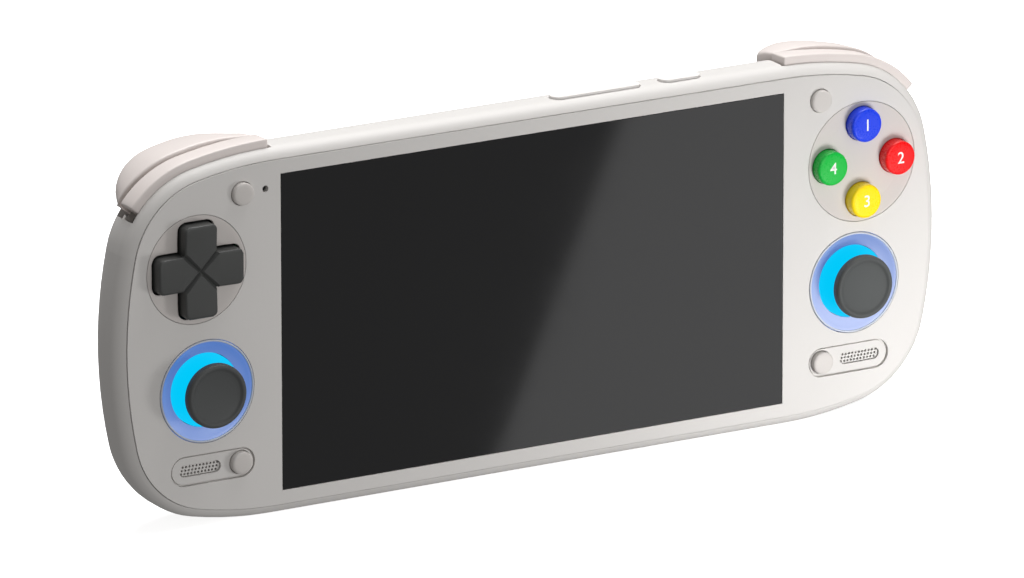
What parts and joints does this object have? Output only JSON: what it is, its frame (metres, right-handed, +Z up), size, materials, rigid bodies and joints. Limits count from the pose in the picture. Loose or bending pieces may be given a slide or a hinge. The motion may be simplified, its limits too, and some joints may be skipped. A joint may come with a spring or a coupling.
{
  "type": "handheld game console",
  "caption": "Handheld game console with a wide screen, direction pad, coloured face buttons, lit thumb sticks, bumpers and triggers.",
  "frame": {"origin": "under the middle of the console's box, on the plane that its lower edge stands on", "axes": "+X to the player's right along the face, +Y from the face towards the back, +Z up the face"},
  "size_m": [0.1996, 0.025, 0.0812],
  "materials": {
    "face_plastic": "satin",
    "shell_plastic": "satin",
    "cover_glass": "polished",
    "display": "matte",
    "dark_plastic": "satin",
    "stick_rubber": "matte",
    "mat_rubber": "matte",
    "steel": "satin",
    "circuit_board": "satin",
    "battery_wrap": "satin",
    "blue_plastic": "gloss",
    "red_plastic": "gloss",
    "green_plastic": "gloss",
    "yellow_plastic": "gloss",
    "ring_diffuser": "satin",
    "lit_disc": "gloss",
    "black_plastic": "satin"
  },
  "bodies": {
    "case": {"front_shell": "face_plastic", "rear_shell": "shell_plastic", "screen_glass": "cover_glass", "display_panel": "display", "mid_frame": "steel", "main_board": "circuit_board", "heat_spreader": "steel", "battery": "battery_wrap", "left_button_board": "circuit_board", "right_button_board": "circuit_board", "pad_plate": "face_plastic", "pad_post": "black_plastic", "pad_mat": "mat_rubber", "cluster_plate": "face_plastic", "cluster_mat": "mat_rubber", "tact_switches": "black_plastic", "left_stick_housing": "black_plastic", "right_stick_housing": "black_plastic", "left_light_ring": "ring_diffuser", "right_light_ring": "ring_diffuser", "left_glow_disc": "lit_disc", "right_glow_disc": "lit_disc", "left_light_board": "circuit_board", "right_light_board": "circuit_board", "left_speaker": "black_plastic", "right_speaker": "black_plastic", "left_grille": "face_plastic", "right_grille": "face_plastic", "microphone": "steel", "top_switch_board": "circuit_board", "shoulder_brackets": "black_plastic", "bumper_pins": "steel", "trigger_pins": "steel", "usb_socket": "steel", "audio_jack": "black_plastic", "card_slot": "steel", "case_screws": "steel", "board_screws": "steel"},
    "upper_button": {"upper_button": "blue_plastic"},
    "right_button": {"right_button": "red_plastic"},
    "left_button": {"left_button": "green_plastic"},
    "lower_button": {"lower_button": "yellow_plastic"},
    "select_button": {"select_button": "face_plastic"},
    "start_button": {"start_button": "face_plastic"},
    "home_button": {"home_button": "face_plastic"},
    "back_button": {"back_button": "face_plastic"},
    "pad_pivot": {"pad_pivot": "steel"},
    "pad_cap": {"pad_cap": "dark_plastic"},
    "left_stick_yoke": {"left_stick_yoke": "steel"},
    "left_stick_rocker": {"left_stick_rocker": "black_plastic"},
    "left_stick_cap": {"left_stick_cap": "stick_rubber"},
    "left_bumper": {"left_bumper": "shell_plastic"},
    "left_trigger": {"left_trigger": "shell_plastic"},
    "right_stick_yoke": {"right_stick_yoke": "steel"},
    "right_stick_rocker": {"right_stick_rocker": "black_plastic"},
    "right_stick_cap": {"right_stick_cap": "stick_rubber"},
    "right_bumper": {"right_bumper": "shell_plastic"},
    "right_trigger": {"right_trigger": "shell_plastic"},
    "volume_rocker": {"volume_rocker": "shell_plastic"},
    "power_button": {"power_button": "shell_plastic"}
  },
  "joints": [
    {"name": "upper_button_press", "type": "slide", "parent": "case", "child": "upper_button", "axis": [0, 1, 0], "range_m": [0, 0.0009], "stiffness_N_per_m": 400},
    {"name": "right_button_press", "type": "slide", "parent": "case", "child": "right_button", "axis": [0, 1, 0], "range_m": [0, 0.0009], "stiffness_N_per_m": 400},
    {"name": "left_button_press", "type": "slide", "parent": "case", "child": "left_button", "axis": [0, 1, 0], "range_m": [0, 0.0009], "stiffness_N_per_m": 400},
    {"name": "lower_button_press", "type": "slide", "parent": "case", "child": "lower_button", "axis": [0, 1, 0], "range_m": [0, 0.0009], "stiffness_N_per_m": 400},
    {"name": "select_button_press", "type": "slide", "parent": "case", "child": "select_button", "axis": [0, 1, 0], "range_m": [0, 0.0005], "stiffness_N_per_m": 600},
    {"name": "start_button_press", "type": "slide", "parent": "case", "child": "start_button", "axis": [0, 1, 0], "range_m": [0, 0.0005], "stiffness_N_per_m": 600},
    {"name": "home_button_press", "type": "slide", "parent": "case", "child": "home_button", "axis": [0, 1, 0], "range_m": [0, 0.0005], "stiffness_N_per_m": 600},
    {"name": "back_button_press", "type": "slide", "parent": "case", "child": "back_button", "axis": [0, 1, 0], "range_m": [0, 0.0005], "stiffness_N_per_m": 600},
    {"name": "pad_rock_left_right", "type": "hinge", "parent": "case", "child": "pad_pivot", "pos_m": [-0.081, -0.00505, 0.05595], "axis": [0, 0, 1], "range_deg": [-3.5, 3.5], "stiffness_Nm_per_rad": 0.1},
    {"name": "pad_rock_up_down", "type": "hinge", "parent": "pad_pivot", "child": "pad_cap", "pos_m": [-0.081, -0.00505, 0.05595], "axis": [1, 0, 0], "range_deg": [-3.5, 3.5], "stiffness_Nm_per_rad": 0.1},
    {"name": "left_stick_up_down", "type": "hinge", "parent": "case", "child": "left_stick_yoke", "pos_m": [-0.0787, -0.00275, 0.02935], "axis": [1, 0, 0], "range_deg": [-15, 15], "stiffness_Nm_per_rad": 0.012},
    {"name": "left_stick_left_right", "type": "hinge", "parent": "left_stick_yoke", "child": "left_stick_rocker", "pos_m": [-0.0787, -0.00275, 0.02935], "axis": [0, 0, 1], "range_deg": [-15, 15], "stiffness_Nm_per_rad": 0.012},
    {"name": "left_stick_press", "type": "slide", "parent": "left_stick_rocker", "child": "left_stick_cap", "axis": [0, 1, 0], "range_m": [0, 0.0003], "stiffness_N_per_m": 3000},
    {"name": "left_bumper_press", "type": "hinge", "parent": "case", "child": "left_bumper", "pos_m": [-0.0646, -0.00235, 0.07375], "axis": [0, -1, 0], "range_deg": [0, 2], "stiffness_Nm_per_rad": 0.5},
    {"name": "left_trigger_pull", "type": "hinge", "parent": "case", "child": "left_trigger", "pos_m": [-0.0709, 0.00265, 0.07395], "axis": [-1, 0, 0], "range_deg": [0, 12], "stiffness_Nm_per_rad": 0.05},
    {"name": "right_stick_up_down", "type": "hinge", "parent": "case", "child": "right_stick_yoke", "pos_m": [0.0787, -0.00275, 0.02935], "axis": [1, 0, 0], "range_deg": [-15, 15], "stiffness_Nm_per_rad": 0.012},
    {"name": "right_stick_left_right", "type": "hinge", "parent": "right_stick_yoke", "child": "right_stick_rocker", "pos_m": [0.0787, -0.00275, 0.02935], "axis": [0, 0, 1], "range_deg": [-15, 15], "stiffness_Nm_per_rad": 0.012},
    {"name": "right_stick_press", "type": "slide", "parent": "right_stick_rocker", "child": "right_stick_cap", "axis": [0, 1, 0], "range_m": [0, 0.0003], "stiffness_N_per_m": 3000},
    {"name": "right_bumper_press", "type": "hinge", "parent": "case", "child": "right_bumper", "pos_m": [0.0646, -0.00235, 0.07375], "axis": [0, 1, 0], "range_deg": [0, 2], "stiffness_Nm_per_rad": 0.5},
    {"name": "right_trigger_pull", "type": "hinge", "parent": "case", "child": "right_trigger", "pos_m": [0.0709, 0.00265, 0.07395], "axis": [-1, 0, 0], "range_deg": [0, 12], "stiffness_Nm_per_rad": 0.05},
    {"name": "volume_rock", "type": "hinge", "parent": "case", "child": "volume_rocker", "pos_m": [0.01725, -0.00285, 0.07635], "axis": [0, 1, 0], "range_deg": [-1, 1], "stiffness_Nm_per_rad": 0.5},
    {"name": "power_button_press", "type": "slide", "parent": "case", "child": "power_button", "axis": [0, 0, -1], "range_m": [0, 0.0004], "stiffness_N_per_m": 800}
  ]
}
